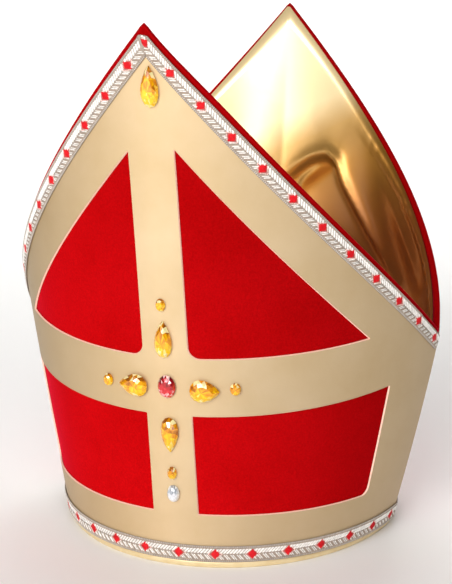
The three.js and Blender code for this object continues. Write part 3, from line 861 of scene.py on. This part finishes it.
satin, tree, shader = new_material("gold_polyester_satin")
place = add_node(tree, "ShaderNodeTexCoord")
slub = add_node(tree, "ShaderNodeTexNoise", {"Vector": place.outputs["Object"], "Scale": 30.0, "Detail": 4.0})
# Painted highlight and shade: the colour runs from dark brown low down and to the right up to pale cream high up and to
# the left, towards the points.
spot = add_node(tree, "ShaderNodeSeparateXYZ", {"Vector": place.outputs["Object"]})
painted_light_axis = add_node(tree, "ShaderNodeMath", {0: spot.outputs["X"], 1: -0.45, 2: spot.outputs["Z"]},
    operation="MULTIPLY_ADD")
slub_and_painted_light = add_node(tree, "ShaderNodeMath", {0: slub.outputs["Fac"], 1: 0.012, 2: painted_light_axis.outputs[0]},
    operation="MULTIPLY_ADD")
painted_light_share = add_node(tree, "ShaderNodeMapRange", {"Value": slub_and_painted_light.outputs[0], "From Min": 0.136,
    "From Max": 0.256})
satin_painted_light_and_shade = colour_ramp(tree, painted_light_share.outputs[0], (0.0, "#A2591A"), (0.9, "#FFE4AC"), ((0.25, "#AC6C22"),
    (0.5, "#C28832"), (0.72, "#DEAE62")))
satin_metal = add_node(tree, "ShaderNodeMapRange", {"Value": painted_light_share.outputs[0], "From Min": 0.5,
    "From Max": 0.95, "To Min": 0.75, "To Max": 0.35})
tree.links.new(satin_metal.outputs[0], shader.inputs["Metallic"])
satin_bump = add_node(tree, "ShaderNodeBump", {"Height": slub.outputs["Fac"], "Strength": 0.12,
    "Distance": 0.003})
tree.links.new(satin_painted_light_and_shade.outputs["Color"], shader.inputs["Base Color"])
tree.links.new(satin_bump.outputs["Normal"], shader.inputs["Normal"])
shader.inputs["Roughness"].default_value = 0.33
shader.inputs["Anisotropic"].default_value = 0.5
shader.inputs["Coat Weight"].default_value = 0.6
shader.inputs["Coat Roughness"].default_value = 0.22
shader.inputs["Coat IOR"].default_value = 1.6


def fold_rise(folds, distance, height):
    """How far the folds lift the cloth at points of a horn's inside."""
    total = np.zeros_like(distance)
    for fold in folds:
        knots = np.array(fold["crest"])
        spread = np.linspace(0, len(knots) - 1, 12 * len(knots))
        smooth = np.stack([np.interp(spread, np.arange(len(knots)), knots[:, k]) for k in (0, 1)], axis=-1)
        for _ in range(10):
            smooth[1:-1] = (smooth[:-2] + 2 * smooth[1:-1] + smooth[2:]) / 4
        nearest, offset, place = np.full(distance.shape,
            1e9), np.zeros_like(distance), np.zeros_like(distance)
        for i, (start, end) in enumerate(zip(smooth[:-1], smooth[1:])):
            run = end - start
            length = np.linalg.norm(run)
            share = np.clip(((distance - start[0]) * run[0] + (height - start[1]) * run[1]) / length**2, 0, 1)
            from_x, from_z = distance - start[0] - share * run[0], height - start[1] - share * run[1]
            away = np.hypot(from_x, from_z)
            closer = away < nearest
            nearest = np.where(closer, away, nearest)
            offset = np.where(closer, np.sign(run[0] * from_z - run[1] * from_x) * away, offset)
            place = np.where(closer, (i + share) / (len(smooth) - 1), place)
        above = np.exp(-(np.maximum(offset, 0) / fold["upper"]) ** 1.6)
        below = np.exp(-(np.maximum(-offset, 0) / fold["under"]) ** 1.6)
        total += fold["rise"] * above * below * np.sin(np.pi * np.clip(place, 0.01, 0.99)) ** 0.9
    return total


def trough_points(across, turn):
    """The satin between the horns: turn runs from -90 degrees at the front edge to 90 at the back."""
    top = horn_edge(across) - TROUGH["top_inset"]
    bottom = JOIN_HEIGHT - TROUGH["end_depth"] - TROUGH["sag"] * (1 - (across / TROUGH["reach"]) ** 2)
    power = 2 / TROUGH["squareness"]
    spread = np.sign(np.sin(turn)) * np.abs(np.sin(turn)) ** power
    height = top - (top - bottom) * np.abs(np.cos(turn)) ** power
    distance = across * girth(height)
    from_edge = np.maximum(top - height, 0)
    pucker = EDGE_ROLL["pucker"] * (np.sin(distance * 620 + 2 * np.sin(distance * 170)) + 0.6 * np.sin(distance * 1130))
    roll = (EDGE_ROLL["rise"] + pucker) * np.sqrt(np.clip(1 - (from_edge / EDGE_ROLL["width"] - 1) ** 2, 0,
        1)) * (from_edge < 2 * EDGE_ROLL["width"])
    lift = np.where(turn > 0, fold_rise(FOLDS, distance, height), fold_rise(FRONT_FOLDS, distance, height))
    room = np.clip((1 - np.abs(across)) / 0.12, 0, 1) * np.clip(from_edge / 0.010, 0, 1)
    points = wall_points(BACK, across, height, -(WALL + 0.0009) - lift * room - roll)
    points[..., 1] = (points[..., 1] - OUTLINE_SHIFT) * spread + OUTLINE_SHIFT
    down = np.where(turn < 0, slump(FRONT, across, height), 0)
    points[..., 0] -= SLUMP["sideways"] * down
    points[..., 2] -= down
    return points


across, turn = np.meshgrid(np.linspace(-TROUGH["reach"], TROUGH["reach"], LINING_COLUMNS),
    np.linspace(-math.pi / 2, math.pi / 2, LINING_ROWS), indexing="ij")
lining_points = trough_points(across, turn)
lining = new_object("satin_lining_sheet", lining_points.reshape(-1, 3), grid_faces(LINING_COLUMNS,
    LINING_ROWS), [satin])
thicken(lining, SATIN, 0)
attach(lining, "root")
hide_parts("front_lining", "back_lining")

# ---- rolled rim -------------------------------------------------------------------------------
# A strip of the same satin rolled round a cord and sewn under the rim; it is what the mitre
# stands on, so its underside is flat.

ROLL = dict(height=0.0044, outer=0.0006, inner=-0.0034)

roll_satin, tree, shader = new_material("cream_gold_satin_roll")
place = add_node(tree, "ShaderNodeTexCoord")
pucker = add_node(tree, "ShaderNodeTexNoise", {"Vector": place.outputs["Object"], "Scale": 140.0,
    "Detail": 2.0})
roll_shade = mixed_colour(tree, pucker.outputs["Fac"], "#D9BE8A", "#F1DFB4")
pucker_bump = add_node(tree, "ShaderNodeBump", {"Height": pucker.outputs["Fac"], "Strength": 0.3,
    "Distance": 0.0006})
tree.links.new(roll_shade.outputs[2], shader.inputs["Base Color"])
tree.links.new(pucker_bump.outputs["Normal"], shader.inputs["Normal"])
shader.inputs["Roughness"].default_value = 0.35
shader.inputs["Metallic"].default_value = 0.3

around = np.linspace(0, 2 * math.pi, 17)[:-1]
middle_offset, half_thick = (ROLL["outer"] + ROLL["inner"]) / 2, (ROLL["outer"] - ROLL["inner"]) / 2
ROLL_COLUMNS = 120          # on each horn
roll_rings = []
for angle in around:
    squared_cos = math.copysign(abs(math.cos(angle)) ** 0.8, math.cos(angle))
    squared_sin = math.copysign(abs(math.sin(angle)) ** 0.6, math.sin(angle))
    height = ROLL["height"] / 2 * (1 + squared_sin)
    offset = middle_offset + half_thick * squared_cos
    front = wall_points(FRONT, np.linspace(-1, 1, ROLL_COLUMNS + 1)[:-1], height, offset)
    back = wall_points(BACK, np.linspace(1, -1, ROLL_COLUMNS + 1)[:-1], height, offset)
    ring = np.concatenate([front, back])
    ring[[0, ROLL_COLUMNS], 1] = OUTLINE_SHIFT
    roll_rings.append(ring)
roll_points = np.stack(roll_rings, axis=1)
roll = new_object("rolled_satin_rim", roll_points.reshape(-1, 3), grid_faces(2 * ROLL_COLUMNS, len(around),
    close_columns=True, close_rows=True), [roll_satin])
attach(roll, "root")
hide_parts("rim_roll")

# ---- gems -------------------------------------------------------------------------------------
# Flat-backed faceted acrylic gems with a coloured foil behind them, glued to the overlay: a drop
# at the point of the horn and a cross of drops, ovals and beads on the crossing.

GEM_DEPTH = dict(drop=0.0042, oval=0.0036, bead=0.0028)
GEMS = (
    dict(name="gem_drop_apex", shape="drop", across=0.0010, height=0.2780, wide=0.0110, long=0.0235, turn=0,
        colour="amber"),
    dict(name="gem_bead_upper", shape="bead", across=0.0016, height=0.1577, wide=0.0060, long=0.0080,
        turn=0, colour="amber"),
    dict(name="gem_drop_upper", shape="drop", across=0.0024, height=0.1380, wide=0.0110, long=0.0225,
        turn=0, colour="amber"),
    dict(name="gem_oval_centre", shape="oval", across=0.0036, height=0.1104, wide=0.0112, long=0.0142,
        turn=0, colour="red"),
    dict(name="gem_drop_left", shape="drop", across=-0.0167, height=0.1094, wide=0.0140, long=0.0190,
        turn=90, colour="amber"),
    dict(name="gem_bead_left", shape="bead", across=-0.0344, height=0.1095, wide=0.0065, long=0.0080,
        turn=0, colour="amber"),
    dict(name="gem_drop_right", shape="drop", across=0.0253, height=0.1092, wide=0.0140, long=0.0180,
        turn=-90, colour="amber"),
    dict(name="gem_bead_right", shape="bead", across=0.0422, height=0.1106, wide=0.0065, long=0.0080,
        turn=0, colour="amber"),
    dict(name="gem_drop_lower", shape="drop", across=0.0045, height=0.0818, wide=0.0110, long=0.0220,
        turn=180, colour="amber"),
    dict(name="gem_bead_lower", shape="bead", across=0.0050, height=0.0585, wide=0.0060, long=0.0083,
        turn=0, colour="amber"),
    dict(name="gem_oval_clear", shape="oval", across=0.0054, height=0.0461, wide=0.0078, long=0.0110,
        turn=0, colour="clear"),
)
GEM_SIDES = 16
# Each row runs from a gem's painted shade through its own colour to its painted glint.
GEM_COLOURS = dict(
    amber=("#9A5200", "#F09A00", "#FFD400", "#FFF2B0"),
    red=("#6E000C", "#B80A18", "#E0202C", "#FFD0D0"),
    clear=("#9AA0A8", "#D4D8DE", "#F4F6FA", "#FFFFFF"),
)


def gem_material(name, tones):
    """Acrylic over foil under a clear glossy coat; each facet's colour is painted light and shade, taken from its facet
    value with some painted sparkle.
    """
    material, tree, shader = new_material(name)
    facet = add_node(tree, "ShaderNodeAttribute", attribute_name="facet")
    place = add_node(tree, "ShaderNodeTexCoord")
    cells = add_node(tree, "ShaderNodeTexVoronoi", {"Vector": place.outputs["Object"], "Scale": 420.0},
        feature="F1")
    painted_sparkle = add_node(tree, "ShaderNodeSeparateColor", {"Color": cells.outputs["Color"]})
    painted_facet_light = add_node(tree, "ShaderNodeMath", {0: painted_sparkle.outputs[0], 1: 0.3, 2: facet.outputs["Fac"]},
        operation="MULTIPLY_ADD")
    ramp = colour_ramp(tree, painted_facet_light.outputs[0], (0.1, tones[0]), (1.1, tones[3]), ((0.38, tones[1]), (0.75,
        tones[2])))
    tree.links.new(ramp.outputs["Color"], shader.inputs["Base Color"])
    shader.inputs["Metallic"].default_value = 0.25
    shader.inputs["Roughness"].default_value = 0.15
    shader.inputs["Coat Weight"].default_value = 1.0
    shader.inputs["Coat Roughness"].default_value = 0.03
    return material


gem_materials = {colour: gem_material(f"{colour}_acrylic_over_foil", tones) for colour,
    tones in GEM_COLOURS.items()}


def gem_outline(gem, angles):
    """Outline of a gem as x and y: an oval, or a drop whose point is at +Y."""
    x, y = gem["wide"] / 2 * np.cos(angles), gem["long"] / 2 * np.sin(angles)
    if gem["shape"] == "drop":
        x = x * 1.22 * np.sqrt((1 - np.sin(angles)) / 2) ** 0.7
    return x, y


rng = np.random.default_rng(7)
for gem in GEMS:
    depth = GEM_DEPTH[gem["shape"]]
    levels = ((0.92, 0.0, 0), (0.96, 0.25, 0), (0.78, 0.72, 1), (0.52, 1.0, 0))
    points = []
    for scale, rise, half_step in levels:
        angles = 2 * math.pi * (np.arange(GEM_SIDES) + 0.5 * half_step) / GEM_SIDES
        x, y = gem_outline(gem, angles)
        points += list(zip(x * scale, y * scale, [rise * depth] * GEM_SIDES))
    points.append((0.0, -0.1 * gem["long"] if gem["shape"] == "drop" else 0.0, 1.04 * depth))
    faces = [tuple(range(GEM_SIDES))[::-1]]
    for level in range(3):
        low, high = level * GEM_SIDES, (level + 1) * GEM_SIDES
        for i in range(GEM_SIDES):
            j = (i + 1) % GEM_SIDES
            if level == 0:
                faces.append((low + i, low + j, high + j, high + i))
            elif level == 1:
                faces += [(low + i, low + j, high + i), (low + j, high + j, high + i)]
            else:
                faces += [(low + i, high + j, high + i), (low + i, low + j, high + j)]
    faces += [(3 * GEM_SIDES + i, 3 * GEM_SIDES + (i + 1) % GEM_SIDES,
        4 * GEM_SIDES) for i in range(GEM_SIDES)]
    bow = gem["wide"] ** 2 / 0.8 + (gem["long"] ** 2 / 0.8 if gem["turn"] % 180 else 0)
    lift = OVERLAY_LIFT + LEATHER + 0.0002 + bow
    reach = float(girth(gem["height"]))
    spot = wall_points(FRONT, gem["across"] / reach, gem["height"], lift)
    sideways = Vector(wall_points(FRONT, (gem["across"] + 0.002) / reach, gem["height"],
        lift) - spot).normalized()
    upwards = Vector(wall_points(FRONT, gem["across"] / reach, gem["height"] + 0.002,
        lift) - spot).normalized()
    outwards = sideways.cross(upwards).normalized()
    upwards = outwards.cross(sideways)
    turn = math.radians(gem["turn"])
    gem_x = math.cos(turn) * sideways + math.sin(turn) * upwards
    gem_y = -math.sin(turn) * sideways + math.cos(turn) * upwards
    placed = [Vector(spot) + gem_x * x + gem_y * y + outwards * z for x, y, z in points]
    half = (gem["wide"] if gem["turn"] % 180 else gem["long"]) / 2
    # Painted light: the lower facets are painted paler and the upper ones darker, and some upper facets are painted
    # white as glints, whatever the lamps.
    tones = []
    for face in faces:
        up = (sum((placed[k] for k in face), Vector()) / len(face) - Vector(spot)).dot(upwards) / half
        painted_glint = up > 0.45 and rng.random() < 0.35
        tones.append(1.1 if painted_glint else 0.34 - 0.42 * up + 0.35 * (rng.random() - 0.5))
    made = new_object(gem["name"].replace("gem_", "faceted_"), placed, faces,
        [gem_materials[gem["colour"]]], smooth=False)
    made.data.attributes.new("facet", "FLOAT", "FACE").data.foreach_set("value", tones)
    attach(made, "root")
    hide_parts(gem["name"])
